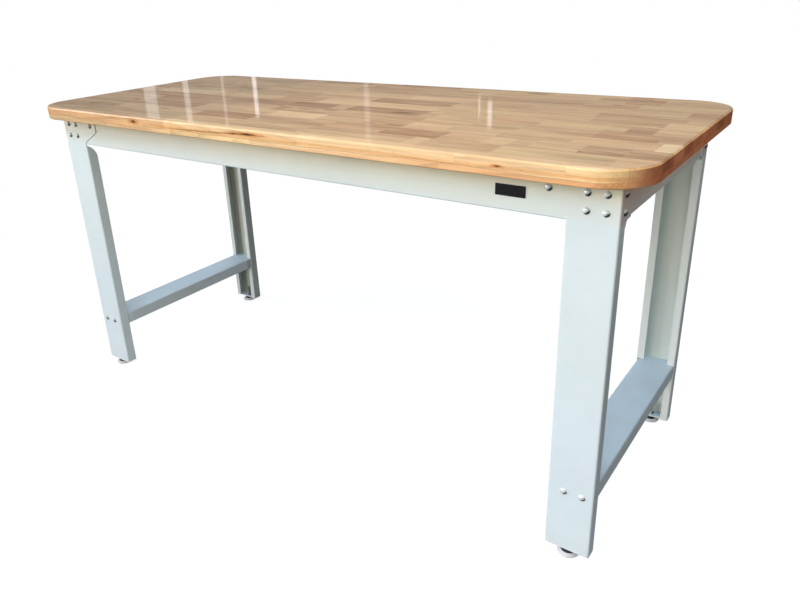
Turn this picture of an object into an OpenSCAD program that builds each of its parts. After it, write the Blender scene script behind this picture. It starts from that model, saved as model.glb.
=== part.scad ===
// Workbench: a laminated hardwood top on a bolted frame of folded sheet steel
// with four lipped channel legs, two end stretchers and four levelling feet.
// Millimetres, +Z up, origin on the floor under the middle of the top.

/* [Top] */
// Length of the top, left to right
top_l = 1800; // [1200:10:2400]
// Depth of the top, front to back
top_w = 750; // [600:10:900]
// Height of the working surface above the floor
bench_h = 880; // [760:5:1000]
// Thickness of the laminated top
top_t = 36; // [30:1:50]
// Corner radius of the top seen from above
top_corner_r = 100; // [40:5:160]
// Radius of the rounded upper edge
top_edge_r = 5; // [2:0.5:10]
// Radius of the rounded lower edge
top_under_r = 3; // [1:0.5:6]

/* [Frame] */
// How far the top stands past the legs at each end
end_overhang = 50; // [30:5:120]
// How far the top stands past the legs at front and back
side_overhang = 55; // [30:5:90]
// Thickness of the folded sheet
sheet_t = 2; // [1.5:0.1:2.5]
// Outer radius of every bend
bend_r = 3.5; // [3:0.1:4]
// Height of the front and rear aprons
apron_h = 80; // [76:1:100]
// Height of the end rails
rail_h = 74; // [68:1:74]
// Depth of the flanges on aprons and rails
flange_d = 30; // [24:1:32]
// Running clearance between folded parts that slide into each other
fit_gap = 0.5; // [0.3:0.1:0.8]
// Room between the cut-back flanges of a rail and those of an apron
cope_gap = 2; // [1:0.5:4]

/* [Legs] */
// Width of a leg across its web
leg_w = 100; // [92:1:120]
// Depth of a leg from web to lips
leg_d = 32; // [32:1:40]
// Width of each inturned lip
leg_lip = 19; // [14:1:24]
// Room between the top of the outer lip and the hollow corner above it
lip_gap = 2; // [1:0.5:3]
// How far the wing reaches along the apron past the leg
wing_w = 60; // [50:1:80]
// Height of the wing's upright end
wing_end_h = 40; // [36:1:46]
// Height of the wing where its slope meets the leg
wing_root_h = 72; // [66:1:75]
// Radius that rounds the inner flange off under the apron
flange_round_r = 50; // [36:1:70]
// Radius that rounds the outer lip off under the rail
lip_round_r = 16; // [10:1:18]
// How far the outer flange spreads along the rail where it laps over it
ear_w = 26; // [16:1:40]
// Radius of the hollow corner where the outer flange spreads
ear_round_r = 12; // [6:1:14]

/* [Stretchers] */
// Height of a stretcher's flat top above the floor
stretcher_z = 187; // [150:1:300]
// Height of a stretcher's folded sides
stretcher_h = 36; // [30:1:50]
// Room above a stretcher in the notches of the leg lips
notch_over = 2; // [1:0.5:4]
// Room under a stretcher in the notches of the leg lips
notch_under = 6; // [3:0.5:8]

/* [Bolts] */
// Thread diameter of the frame bolts
bolt_d = 8; // [6:1:8]
// Diameter of the domed bolt heads
bolt_head_d = 15; // [13:0.5:16]
// Height of the domed bolt heads
bolt_head_h = 4.5; // [3:0.5:5]
// Length of a bolt under its head
bolt_l = 14; // [13:1:18]
// Radial room round a bolt in the sheet
bolt_gap = 0.3; // [0.2:0.05:0.5]
// Height of the frame nuts
nut_h = 6.5; // [5:0.5:7]
// Width of the frame nuts across their flats
nut_af = 13; // [11:0.5:14]
// Distance of the outer bolt column from the leg's outer face
bolt_inset = 26.5; // [24:0.5:30]
// Distance between the two bolt columns on a leg
bolt_pitch = 36; // [32:1:40]
// Distance of the upper bolt row below the top
bolt_drop = 22.5; // [20:0.5:26]
// Distance between the two bolt rows on a leg
row_pitch = 34; // [32:0.5:36]
// Distance of the wing bolt from the wing's end
wing_bolt_in = 25; // [16:1:30]
// Distance of the first stretcher bolt from the leg's outer face
stretcher_bolt_inset = 25; // [22:1:30]
// Distance between the two stretcher bolts
stretcher_bolt_pitch = 40; // [34:1:46]
// Distance of the stretcher bolts below the stretcher's flat top
stretcher_bolt_drop = 21; // [19:0.5:22]
// Distance of the rail bolts behind the leg's web face
rail_bolt_in = 22; // [20.5:0.5:23]

/* [Top screws] */
// Diameter of the wood screws
screw_d = 5; // [4:0.5:6]
// Depth that a screw reaches into the top
screw_bite = 26; // [18:1:28]
// Diameter of the screw heads
screw_head_d = 10; // [8:0.5:12]
// Height of the screw heads
screw_head_h = 3; // [2:0.5:4]
// Distance between neighbouring screws along an apron
screw_pitch = 430; // [300:10:520]
// Half the distance between the screws on a rail
rail_screw_y = 150; // [80:5:180]

/* [Levelling feet] */
// Thread diameter of the foot stud
stud_d = 10; // [8:1:12]
// Length of the foot stud
stud_l = 48; // [46:1:70]
// Diameter of the foot pad
pad_d = 48; // [36:1:60]
// Height of the pad's flat rim
pad_rim_h = 4; // [3:0.5:5]
// Height of the whole pad
pad_h = 9.5; // [8:0.5:9.5]
// Diameter of the pad's hub
hub_d = 20; // [17:1:24]
// Thickness of the pad under the stud
pad_floor = 3; // [2:0.5:4]
// Thickness of the welded foot plate
plate_t = 3; // [2:0.5:5]
// Width of the foot nuts across their flats
foot_nut_af = 17; // [15:1:19]
// Height of the lock nut under the plate
lock_nut_h = 5; // [3:0.5:5]
// Height of the weld nut on the plate
weld_nut_h = 8; // [6:1:10]
// Room between the pad and the lock nut when a foot is screwed right in
foot_play = 0.5; // [0.3:0.1:3]
// Radial running clearance of stud and bolts in their threads
thread_gap = 0.05; // [0.03:0.01:0.1]
// Clearance of the welded plate inside the leg
weld_gap = 0.2; // [0.1:0.05:0.3]

/* [Hidden] */
$fn = 48;

// Sides of the bench
LEFT = -1;
RIGHT = 1;
FRONT = -1;
REAR = 1;

// Overlap that makes a cut run clean through a face
eps = 1;
inner_r = bend_r - sheet_t;
frame_z = bench_h - top_t;
frame_x = top_l / 2 - end_overhang;
frame_y = top_w / 2 - side_overhang;
apron_z = frame_z - apron_h;
rail_z = frame_z - rail_h;

// Where the second layer of sheet lies inside a leg: face of the layer, then its back
layer_in = sheet_t;
layer_out = 2 * sheet_t;
// Ends of aprons and rails, measured inward from the legs' outer faces
end_in = layer_out + fit_gap;
// A rail's flanges start behind the apron's flanges
rail_cope = layer_in + flange_d + fit_gap + cope_gap;
lip_top_z = min(apron_z, rail_z - ear_round_r) - lip_gap;

upper_row_z = frame_z - bolt_drop;
lower_row_z = upper_row_z - row_pitch;
wing_bolt_u = leg_w + wing_w - wing_bolt_in;
apron_bolt_places = concat(
    [for (u = [bolt_inset, bolt_inset + bolt_pitch], z = [upper_row_z, lower_row_z]) [u, z]],
    [[wing_bolt_u, upper_row_z]]);
stretcher_bolt_z = stretcher_z - stretcher_bolt_drop;
stretcher_bolt_places = [for (i = [0, 1])
    [stretcher_bolt_inset + i * stretcher_bolt_pitch, stretcher_bolt_z]];
// A stretcher's sides stand clear of a leg's flanges and of the bends inside it
stretcher_side = max(sheet_t + fit_gap, bend_r);

// The screws stand in the middle of the flat part of a flange
screw_in = layer_in + (flange_d + sheet_t) / 2;
top_screw_places = concat(
    [for (step = [-1.5:1:1.5], face = [FRONT, REAR]) [step * screw_pitch, face * (frame_y - screw_in)]],
    [for (side = [LEFT, RIGHT], y = [-rail_screw_y, rail_screw_y]) [side * (frame_x - screw_in), y]]);

foot_u = leg_w / 2;
foot_v = leg_d / 2;
// Height of a leg's lower end, and of its plate, with the foot screwed right in
leg_z = pad_h + foot_play + lock_nut_h;

powder_coat = [0.80, 0.85, 0.82];
wood = [0.78, 0.56, 0.36];
zinc = [0.74, 0.75, 0.76];
nylon = [0.62, 0.63, 0.64];

// Rectangle with rounded corners, from one corner to the opposite one
module rounded_rect(from, to, r) {
    translate([from.x + r, from.y]) square([to.x - from.x - 2 * r, to.y - from.y]);
    translate([from.x, from.y + r]) square([to.x - from.x, to.y - from.y - 2 * r]);
    for (x = [from.x + r, to.x - r], y = [from.y + r, to.y - r]) translate([x, y]) circle(r);
}

// Outline of a folded box section of the given size, one sheet thick
module folded_outline(width, depth) {
    difference() {
        rounded_rect([0, 0], [width, depth], bend_r);
        rounded_rect([sheet_t, sheet_t], [width - sheet_t, depth - sheet_t], inner_r);
    }
}

// Channel section with its web along the first axis and flanges rising from it
module channel_outline(width, depth) {
    difference() {
        folded_outline(width, depth + bend_r + sheet_t);
        translate([-eps, depth]) square([width + 2 * eps, bend_r + sheet_t + eps]);
    }
}

// Puts its children on one leg. In a leg, the first axis runs inward along the bench from
// the leg's outer face and the second runs inward across it from the leg's web face.
module at_leg(side, face) {
    mirror([side == LEFT ? 1 : 0, 0, 0])
        mirror([0, face == REAR ? 1 : 0, 0])
            translate([frame_x, -frame_y, 0])
                mirror([1, 0, 0])
                    children();
}

// Bolt hole or bolt axis across a leg's web
module across_web(place) {
    translate([place.x, 0, place.y]) rotate([-90, 0, 0]) children();
}

// Bolt hole or bolt axis across a leg's outer flange
module across_flange(z) {
    translate([0, rail_bolt_in, z]) rotate([0, 90, 0]) children();
}

// Clearance hole through both layers of sheet
module bolt_hole() {
    translate([0, 0, -eps]) cylinder(h = layer_out + 2 * eps, d = bolt_d + 2 * bolt_gap);
}

// Bolt along +Z with its domed head under the origin
module bolt() {
    crown_r = (pow(bolt_head_d / 2, 2) + pow(bolt_head_h, 2)) / (2 * bolt_head_h);
    cylinder(h = bolt_l, d = bolt_d);
    rotate_extrude()
        intersection() {
            translate([0, crown_r - bolt_head_h]) circle(crown_r);
            translate([0, -bolt_head_h]) square([bolt_head_d / 2, bolt_head_h]);
        }
}

// Hexagonal nut along +Z on the origin
module hex_nut(across_flats, height, thread_d) {
    difference() {
        cylinder(h = height, d = across_flats / cos(30), $fn = 6);
        translate([0, 0, -eps]) cylinder(h = height + 2 * eps, d = thread_d + 2 * thread_gap);
    }
}

// Nut on the back of the second layer of sheet
module frame_nut() {
    translate([0, 0, layer_out]) hex_nut(nut_af, nut_h, bolt_d);
}

// Profile of the top's edge, rounded above and below, with its outside face at x = 0
module edge_profile(depth) {
    difference() {
        translate([-depth, 0]) square([depth, top_t]);
        translate([-top_edge_r, top_t - top_edge_r])
            difference() {
                square(top_edge_r + eps);
                circle(top_edge_r);
            }
        translate([-top_under_r, -eps])
            difference() {
                square([top_under_r + eps, top_under_r + eps]);
                translate([0, top_under_r + eps]) circle(top_under_r);
            }
    }
}

// Laminated top, a straight middle with rounded edges swept round it
module top_board() {
    straight_x = top_l / 2 - top_corner_r;
    straight_y = top_w / 2 - top_corner_r;
    color(wood)
        difference() {
            translate([0, 0, frame_z]) {
                translate([-straight_x, -straight_y, 0]) cube([2 * straight_x, 2 * straight_y, top_t]);
                for (turn = [0, 180]) rotate(turn) {
                    translate([straight_x, straight_y, 0]) rotate([90, 0, 0])
                        linear_extrude(2 * straight_y)
                            translate([top_corner_r, 0]) edge_profile(top_corner_r);
                    translate([-straight_x, straight_y, 0]) rotate([90, 0, 90])
                        linear_extrude(2 * straight_x)
                            translate([top_corner_r, 0]) edge_profile(top_corner_r);
                    translate([straight_x, straight_y, 0]) rotate_extrude(angle = 90)
                        translate([top_corner_r, 0]) edge_profile(top_corner_r);
                    translate([-straight_x, straight_y, 0]) rotate(90) rotate_extrude(angle = 90)
                        translate([top_corner_r, 0]) edge_profile(top_corner_r);
                }
            }
            for (place = top_screw_places)
                translate([place.x, place.y, frame_z - eps])
                    cylinder(h = screw_bite + eps, d = screw_d + 2 * thread_gap);
        }
}

// Clearance holes for the wood screws, four along each apron and two along each rail
module top_screw_holes() {
    for (place = top_screw_places)
        translate([place.x, place.y, frame_z - sheet_t - eps])
            cylinder(h = sheet_t + 2 * eps, d = screw_d + 2 * bolt_gap);
}

// Wood screws through the flanges into the top
module top_screws() {
    color(zinc)
        for (place = top_screw_places)
            translate([place.x, place.y, frame_z - sheet_t]) {
                cylinder(h = sheet_t + screw_bite, d = screw_d);
                translate([0, 0, -screw_head_h]) cylinder(h = screw_head_h, d = screw_head_d);
            }
}

// Apron: a long channel behind the webs of two legs, bolted to them and to their wings
module apron(face) {
    half_l = frame_x - end_in;
    color(powder_coat)
        difference() {
            mirror([0, face == REAR ? 1 : 0, 0])
                translate([0, -frame_y + layer_in, apron_z])
                    rotate([90, 0, 90])
                        linear_extrude(2 * half_l, center = true)
                            rotate(90) mirror([0, 1]) channel_outline(apron_h, flange_d);
            for (side = [LEFT, RIGHT]) at_leg(side, face)
                for (place = apron_bolt_places) across_web(place) bolt_hole();
            top_screw_holes();
        }
}

// End rail: a channel between front and rear legs, inside their outer flanges, with its own
// flanges cut back at both ends so that they clear the aprons
module end_rail(side) {
    half_w = frame_y - end_in;
    color(powder_coat)
        difference() {
            mirror([side == LEFT ? 1 : 0, 0, 0])
                translate([frame_x - layer_in, 0, rail_z])
                    rotate([90, 0, 0])
                        linear_extrude(2 * half_w, center = true)
                            rotate(90) channel_outline(rail_h, flange_d);
            for (face = [FRONT, REAR]) at_leg(side, face) {
                translate([layer_out, 0, rail_z - eps])
                    cube([flange_d + eps, rail_cope, rail_h + 2 * eps]);
                for (z = [upper_row_z, lower_row_z]) across_flange(z) bolt_hole();
            }
            top_screw_holes();
        }
}

// Web of a leg above its flanges, with the sloping wing that laps over the apron
module leg_head() {
    rotate([90, 0, 0]) translate([0, 0, -sheet_t]) linear_extrude(sheet_t)
        polygon([
            [bend_r, frame_z],
            [bend_r, frame_z - wing_root_h],
            [leg_w, frame_z - wing_root_h],
            [leg_w + wing_w, frame_z - wing_end_h],
            [leg_w + wing_w, frame_z]
        ]);
}

// Part of the inner flange and lip that is cut away under the apron, rounded off to the web
module inner_flange_cut() {
    cut_w = leg_lip + bend_r;
    round_z = apron_z - flange_round_r;
    translate([leg_w - cut_w, 0, 0]) rotate([90, 0, 90]) linear_extrude(cut_w + eps)
        difference() {
            translate([sheet_t, round_z]) square([leg_d, frame_z - round_z + eps]);
            translate([leg_d - flange_round_r, round_z]) circle(flange_round_r, $fn = 96);
        }
}

// Part of the outer lip that is cut away under the rail, with a rounded corner
module outer_lip_cut() {
    cut_z = lip_top_z - lip_round_r;
    translate([sheet_t, leg_d + eps, 0]) rotate([90, 0, 0]) linear_extrude(bend_r + 2 * eps)
        difference() {
            translate([0, cut_z]) square([leg_lip + eps, frame_z - cut_z + eps]);
            square([leg_lip - sheet_t - lip_round_r, lip_top_z]);
            translate([leg_lip - sheet_t - lip_round_r, cut_z]) circle(lip_round_r);
        }
}

// Ear of the outer flange, flat against the rail, with a hollow corner over the lip
module flange_ear() {
    root = leg_d - bend_r;
    low_z = rail_z - ear_round_r;
    rotate([90, 0, 90]) linear_extrude(sheet_t)
        difference() {
            union() {
                translate([root, rail_z]) square([bend_r + ear_w, frame_z - rail_z]);
                translate([root, low_z]) square([bend_r + ear_round_r, ear_round_r + eps]);
            }
            translate([leg_d + ear_round_r, low_z]) circle(ear_round_r);
        }
}

// Notches in both lips for the stretcher
module lip_notches() {
    translate([sheet_t, leg_d - sheet_t - inner_r, stretcher_z - stretcher_h - notch_under])
        cube([leg_w - 2 * sheet_t, sheet_t + inner_r + eps, stretcher_h + notch_under + notch_over]);
}

// Leg: a lipped channel whose web spreads into a wing over the apron, and its outer flange
// into an ear over the rail
module leg(side, face) {
    color(powder_coat)
        at_leg(side, face)
            difference() {
                union() {
                    difference() {
                        translate([0, 0, leg_z]) linear_extrude(frame_z - leg_z)
                            difference() {
                                folded_outline(leg_w, leg_d);
                                translate([leg_lip, sheet_t + inner_r])
                                    square([leg_w - 2 * leg_lip, leg_d]);
                            }
                        inner_flange_cut();
                        outer_lip_cut();
                        lip_notches();
                    }
                    leg_head();
                    flange_ear();
                }
                for (place = concat(apron_bolt_places, stretcher_bolt_places))
                    across_web(place) bolt_hole();
                for (z = [upper_row_z, lower_row_z]) across_flange(z) bolt_hole();
            }
}

// Stretcher: a channel turned upside down between front and rear legs, with a folded tab
// at each end that lies against the leg's web
module stretcher(side) {
    width = leg_w - 2 * stretcher_side;
    half_w = frame_y - layer_in;
    color(powder_coat)
        difference() {
            mirror([side == LEFT ? 1 : 0, 0, 0])
                translate([frame_x - stretcher_side - width, 0, stretcher_z]) {
                    rotate([90, 0, 0])
                        linear_extrude(2 * half_w, center = true)
                            mirror([0, 1]) channel_outline(width, stretcher_h);
                    for (y = [-half_w, half_w - sheet_t])
                        translate([sheet_t, y, -stretcher_h])
                            cube([width - 2 * sheet_t, sheet_t, stretcher_h - sheet_t / 2]);
                }
            for (face = [FRONT, REAR]) at_leg(side, face)
                for (place = stretcher_bolt_places) across_web(place) bolt_hole();
        }
}

// Bolts and nuts: five through each leg's web into its apron, two through its outer flange
// into the rail and two through its web into the stretcher's tab
module apron_bolts(face) {
    color(zinc)
        for (side = [LEFT, RIGHT]) at_leg(side, face)
            for (place = apron_bolt_places) across_web(place) bolt();
}

module apron_nuts(face) {
    color(zinc)
        for (side = [LEFT, RIGHT]) at_leg(side, face)
            for (place = apron_bolt_places) across_web(place) frame_nut();
}

module rail_bolts(side) {
    color(zinc)
        for (face = [FRONT, REAR]) at_leg(side, face)
            for (z = [upper_row_z, lower_row_z]) across_flange(z) bolt();
}

module rail_nuts(side) {
    color(zinc)
        for (face = [FRONT, REAR]) at_leg(side, face)
            for (z = [upper_row_z, lower_row_z]) across_flange(z) frame_nut();
}

module stretcher_bolts(side) {
    color(zinc)
        for (face = [FRONT, REAR]) at_leg(side, face)
            for (place = stretcher_bolt_places) across_web(place) bolt();
}

module stretcher_nuts(side) {
    color(zinc)
        for (face = [FRONT, REAR]) at_leg(side, face)
            for (place = stretcher_bolt_places) across_web(place) frame_nut();
}

// Plate welded into the bottom of a leg
module foot_plate(side, face) {
    inset = sheet_t + weld_gap;
    color(powder_coat)
        at_leg(side, face) translate([0, 0, leg_z])
            difference() {
                linear_extrude(plate_t)
                    rounded_rect([inset, inset], [leg_w - inset, leg_d - inset], inner_r);
                translate([foot_u, foot_v, -eps])
                    cylinder(h = plate_t + 2 * eps, d = stud_d + 2 * bolt_gap);
            }
}

// Nut welded on top of the foot plate
module weld_nut(side, face) {
    color(zinc)
        at_leg(side, face) translate([foot_u, foot_v, leg_z + plate_t])
            hex_nut(foot_nut_af, weld_nut_h, stud_d);
}

// Nut that locks the stud from below
module lock_nut(side, face) {
    color(zinc)
        at_leg(side, face) translate([foot_u, foot_v, leg_z - lock_nut_h])
            hex_nut(foot_nut_af, lock_nut_h, stud_d);
}

// Threaded stud with a hexagon socket in its upper end, standing in the hub of the pad
module foot_stud(side, face) {
    socket_af = stud_d / 2;
    socket_h = stud_d / 2;
    color(zinc)
        at_leg(side, face) translate([foot_u, foot_v, pad_floor])
            difference() {
                cylinder(h = stud_l, d = stud_d);
                translate([0, 0, stud_l - socket_h])
                    cylinder(h = socket_h + eps, d = socket_af / cos(30), $fn = 6);
            }
}

// Round pad that stays still on the floor while the stud turns in its hub
module foot_pad(side, face) {
    rim_round = pad_rim_h / 2;
    color(nylon)
        at_leg(side, face) translate([foot_u, foot_v, 0])
            difference() {
                rotate_extrude() {
                    polygon([
                        [0, 0],
                        [pad_d / 2, 0],
                        [pad_d / 2, pad_rim_h - rim_round],
                        [pad_d / 2 - rim_round, pad_rim_h],
                        [hub_d / 2, pad_h],
                        [0, pad_h]
                    ]);
                    translate([pad_d / 2 - rim_round, pad_rim_h - rim_round]) circle(rim_round);
                }
                translate([0, 0, pad_floor]) cylinder(h = pad_h, d = stud_d + 2 * thread_gap);
            }
}

top_board();
apron(FRONT);  // front_apron
apron(REAR);  // rear_apron
end_rail(LEFT);  // left_end_rail
end_rail(RIGHT);  // right_end_rail
leg(LEFT, FRONT);  // leg_front_left
leg(RIGHT, FRONT);  // leg_front_right
leg(LEFT, REAR);  // leg_rear_left
leg(RIGHT, REAR);  // leg_rear_right
stretcher(LEFT);  // stretcher_left
stretcher(RIGHT);  // stretcher_right
apron_bolts(FRONT);  // front_apron_bolts
apron_bolts(REAR);  // rear_apron_bolts
apron_nuts(FRONT);  // front_apron_nuts
apron_nuts(REAR);  // rear_apron_nuts
rail_bolts(LEFT);  // left_rail_bolts
rail_bolts(RIGHT);  // right_rail_bolts
rail_nuts(LEFT);  // left_rail_nuts
rail_nuts(RIGHT);  // right_rail_nuts
stretcher_bolts(LEFT);  // left_stretcher_bolts
stretcher_bolts(RIGHT);  // right_stretcher_bolts
stretcher_nuts(LEFT);  // left_stretcher_nuts
stretcher_nuts(RIGHT);  // right_stretcher_nuts
top_screws();
foot_plate(LEFT, FRONT);  // foot_plate_front_left
foot_plate(RIGHT, FRONT);  // foot_plate_front_right
foot_plate(LEFT, REAR);  // foot_plate_rear_left
foot_plate(RIGHT, REAR);  // foot_plate_rear_right
weld_nut(LEFT, FRONT);  // weld_nut_front_left
weld_nut(RIGHT, FRONT);  // weld_nut_front_right
weld_nut(LEFT, REAR);  // weld_nut_rear_left
weld_nut(RIGHT, REAR);  // weld_nut_rear_right
lock_nut(LEFT, FRONT);  // lock_nut_front_left
lock_nut(RIGHT, FRONT);  // lock_nut_front_right
lock_nut(LEFT, REAR);  // lock_nut_rear_left
lock_nut(RIGHT, REAR);  // lock_nut_rear_right
foot_stud(LEFT, FRONT);  // foot_stud_front_left
foot_stud(RIGHT, FRONT);  // foot_stud_front_right
foot_stud(LEFT, REAR);  // foot_stud_rear_left
foot_stud(RIGHT, REAR);  // foot_stud_rear_right
foot_pad(LEFT, FRONT);  // foot_pad_front_left
foot_pad(RIGHT, FRONT);  // foot_pad_front_right
foot_pad(LEFT, REAR);  // foot_pad_rear_left
foot_pad(RIGHT, REAR);  // foot_pad_rear_right
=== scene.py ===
# Looks of a workbench: a laminated hardwood top on a bolted frame of folded, powder coated steel.
import math

import bpy
import numpy as np
from mathutils import Matrix, Vector


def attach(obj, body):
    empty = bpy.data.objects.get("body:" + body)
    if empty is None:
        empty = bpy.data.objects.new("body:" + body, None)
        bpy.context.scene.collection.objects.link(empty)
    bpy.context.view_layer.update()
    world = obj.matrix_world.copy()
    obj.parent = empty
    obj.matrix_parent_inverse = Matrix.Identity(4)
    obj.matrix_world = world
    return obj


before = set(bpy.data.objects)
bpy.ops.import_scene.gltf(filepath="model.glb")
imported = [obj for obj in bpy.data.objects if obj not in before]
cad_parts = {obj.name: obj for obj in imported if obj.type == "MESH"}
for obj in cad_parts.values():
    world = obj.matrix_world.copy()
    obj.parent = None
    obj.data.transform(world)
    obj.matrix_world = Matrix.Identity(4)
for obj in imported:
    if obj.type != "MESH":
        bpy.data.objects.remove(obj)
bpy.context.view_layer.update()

# Camera
cameraValues = dict(
    place=(1.2004747, -1.5131723, 1.1813252),  # metres
    turn=0.6472, tilt=1.1828, roll=-0.0454,    # radians, about Z, then X, then the view axis
    focalPixels=706.2553,                      # focal length for an image 800 wide
    centreX=370.104, centreY=270.9034,         # where the view axis meets the image
    imageWide=800, imageHigh=600,
    sensorWide=36.0, nearest=0.05, farthest=100,
)


def makeCamera(v):
    # a plain pinhole: focal length and view axis are given in pixels of the image
    lens = bpy.data.cameras.new("benchCamera")
    lens.sensor_fit = "HORIZONTAL"
    lens.sensor_width = v["sensorWide"]
    lens.lens = v["focalPixels"] / v["imageWide"] * lens.sensor_width
    lens.shift_x = (v["imageWide"] / 2 - v["centreX"]) / v["imageWide"]
    lens.shift_y = (v["centreY"] - v["imageHigh"] / 2) / v["imageWide"]
    lens.clip_start, lens.clip_end = v["nearest"], v["farthest"]
    eye = bpy.data.objects.new("benchCamera", lens)
    bpy.context.scene.collection.objects.link(eye)
    eye.matrix_world = (Matrix.Translation(v["place"]) @ Matrix.Rotation(v["turn"], 4, "Z")
                        @ Matrix.Rotation(v["tilt"], 4, "X") @ Matrix.Rotation(v["roll"], 4, "Z"))
    bpy.context.scene.camera = eye


makeCamera(cameraValues)
bpy.context.scene.view_settings.view_transform = "Standard"
print("camera placed")


# Small helpers for node trees
def join(tree, value, socket):
    # a socket is linked, anything else is the socket's own value
    if isinstance(value, bpy.types.NodeSocket):
        tree.links.new(value, socket)
    elif value is not None:
        socket.default_value = value


def put(tree, kind, values=(), named=None, **settings):
    made = tree.nodes.new(kind)
    for key, value in settings.items():
        setattr(made, key, value)
    for i, value in enumerate(values):
        join(tree, value, made.inputs[i])
    for key, value in (named or {}).items():
        join(tree, value, made.inputs[key])
    return made


def calc(tree, operation, *values, clamp=False):
    return put(tree, "ShaderNodeMath", values, operation=operation, use_clamp=clamp).outputs[0]


def product(tree, first, *others):
    for other in others:
        first = calc(tree, "MULTIPLY", first, other)
    return first


def above(tree, value, limit):
    return calc(tree, "GREATER_THAN", value, limit)


def below(tree, value, limit):
    return calc(tree, "LESS_THAN", value, limit)


def swing(tree, value, size, middle=0.5):
    # a pattern round its middle becomes one round zero, as high as size
    return product(tree, calc(tree, "SUBTRACT", value, middle), size)


def gapTo(tree, value, place):
    return calc(tree, "ABSOLUTE", calc(tree, "SUBTRACT", value, place))


def reachOf(tree, u, w):
    # the root of two squares added
    return calc(tree, "SQRT", calc(tree, "ADD", product(tree, u, u), product(tree, w, w)))


def fromStud(tree, x, y, v):
    # each stud stands at the same distance from both middle planes
    u = calc(tree, "SUBTRACT", calc(tree, "ABSOLUTE", x), v["studX"])
    w = calc(tree, "SUBTRACT", calc(tree, "ABSOLUTE", y), v["studY"])
    return u, w


def vectorCalc(tree, operation, *values, out=0):
    return put(tree, "ShaderNodeVectorMath", values, operation=operation).outputs[out]


def parts(tree, vector):
    split = put(tree, "ShaderNodeSeparateXYZ", [vector])
    return split.outputs[0], split.outputs[1], split.outputs[2]


def gather(tree, x, y, z):
    return put(tree, "ShaderNodeCombineXYZ", [x, y, z]).outputs[0]


def remap(tree, value, low, high, toLow=0.0, toHigh=1.0, smooth=False):
    kind = "SMOOTHSTEP" if smooth else "LINEAR"
    return put(tree, "ShaderNodeMapRange", [value, low, high, toLow, toHigh],
               interpolation_type=kind).outputs[0]


def blendColour(tree, factor, a, b, how="MIX"):
    mixer = put(tree, "ShaderNodeMix", [factor], data_type="RGBA", blend_type=how)
    for colour, socket in ((a, mixer.inputs[6]), (b, mixer.inputs[7])):
        # a colour of three numbers is made opaque
        join(tree, colour if isinstance(colour, bpy.types.NodeSocket) else (*colour, 1), socket)
    return mixer.outputs[2]


def tinted(tree, colour, share, tint):
    # the colour times a tint, over this share of the surface
    return blendColour(tree, share, colour, blendColour(tree, 1.0, colour, tint, "MULTIPLY"))


def spanned(tree, pattern, low=0.0, high=1.0):
    # most of a noise lies between these two values, which become low and high
    return remap(tree, pattern, 0.3, 0.7, low, high)


def noise(tree, where, scale, detail=3.0, rough=0.5, distortion=0.0, out=0):
    made = put(tree, "ShaderNodeTexNoise",
               named={"Vector": where, "Scale": scale, "Detail": detail, "Roughness": rough,
                      "Distortion": distortion})
    return made.outputs[out]


def stretch(tree, where, x, y, z):
    return vectorCalc(tree, "MULTIPLY", where, (x, y, z))


def ramp(tree, factor, stops, how="LINEAR"):
    made = put(tree, "ShaderNodeValToRGB", [factor])
    made.color_ramp.interpolation = how
    points = made.color_ramp.elements
    while len(points) > 1:
        points.remove(points[-1])
    for i, (place, colour) in enumerate(stops):
        point = points[0] if i == 0 else points.new(place)
        point.position = place
        point.color = (*colour, 1.0)
    return made.outputs[0]


def newGroup(name, inputs, outputs):
    # inputs: (name, kind, value); outputs: (name, kind)
    tree = bpy.data.node_groups.new(name, "ShaderNodeTree")
    for label, kind, value in inputs:
        socket = tree.interface.new_socket(label, in_out="INPUT", socket_type=kind)
        if value is not None:
            socket.default_value = value
    for label, kind in outputs:
        tree.interface.new_socket(label, in_out="OUTPUT", socket_type=kind)
    source = tree.nodes.new("NodeGroupInput")
    target = tree.nodes.new("NodeGroupOutput")
    return tree, source.outputs, target.inputs


def useGroup(tree, group, **values):
    made = tree.nodes.new("ShaderNodeGroup")
    made.node_tree = group
    for key, value in values.items():
        join(tree, value, made.inputs[key])
    return made.outputs


def newMaterial(name):
    made = bpy.data.materials.new(name)
    made.use_nodes = True
    tree = made.node_tree
    tree.nodes.clear()
    shader = tree.nodes.new("ShaderNodeBsdfPrincipled")
    result = tree.nodes.new("ShaderNodeOutputMaterial")
    tree.links.new(shader.outputs[0], result.inputs[0])
    where = tree.nodes.new("ShaderNodeTexCoord")
    return made, tree, shader, where


def bump(tree, height, distance, strength=1.0, normal=None):
    made = put(tree, "ShaderNodeBump",
               named={"Strength": strength, "Distance": distance, "Height": height, "Normal": normal})
    return made.outputs[0]


# Shared effects
dustValues = dict(broadPart=(0.42, 0.72), fineScale=900.0, finePart=(0.3, 0.7), facing=(-0.2, 1.0, 0.35, 1.0))


def makeDustGroup(v):
    # dust: broad noise times fine noise, strongest where the surface looks up
    tree, given, result = newGroup(
        "settledDust",
        [("Position", "NodeSocketVector", None), ("Normal", "NodeSocketVector", None),
         ("Patch Size", "NodeSocketFloat", 0.2), ("Amount", "NodeSocketFloat", 0.2)],
        [("Mask", "NodeSocketFloat")])
    broad = noise(tree, given["Position"], calc(tree, "DIVIDE", 1.0, given["Patch Size"]), 4.0, 0.6)
    broad = remap(tree, broad, *v["broadPart"], smooth=True)
    fine = remap(tree, noise(tree, given["Position"], v["fineScale"], 2.0, 0.6), *v["finePart"])
    up = remap(tree, parts(tree, given["Normal"])[2], *v["facing"])
    mask = product(tree, broad, fine, up)
    join(tree, calc(tree, "MULTIPLY", mask, given["Amount"], clamp=True), result["Mask"])
    return tree


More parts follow.
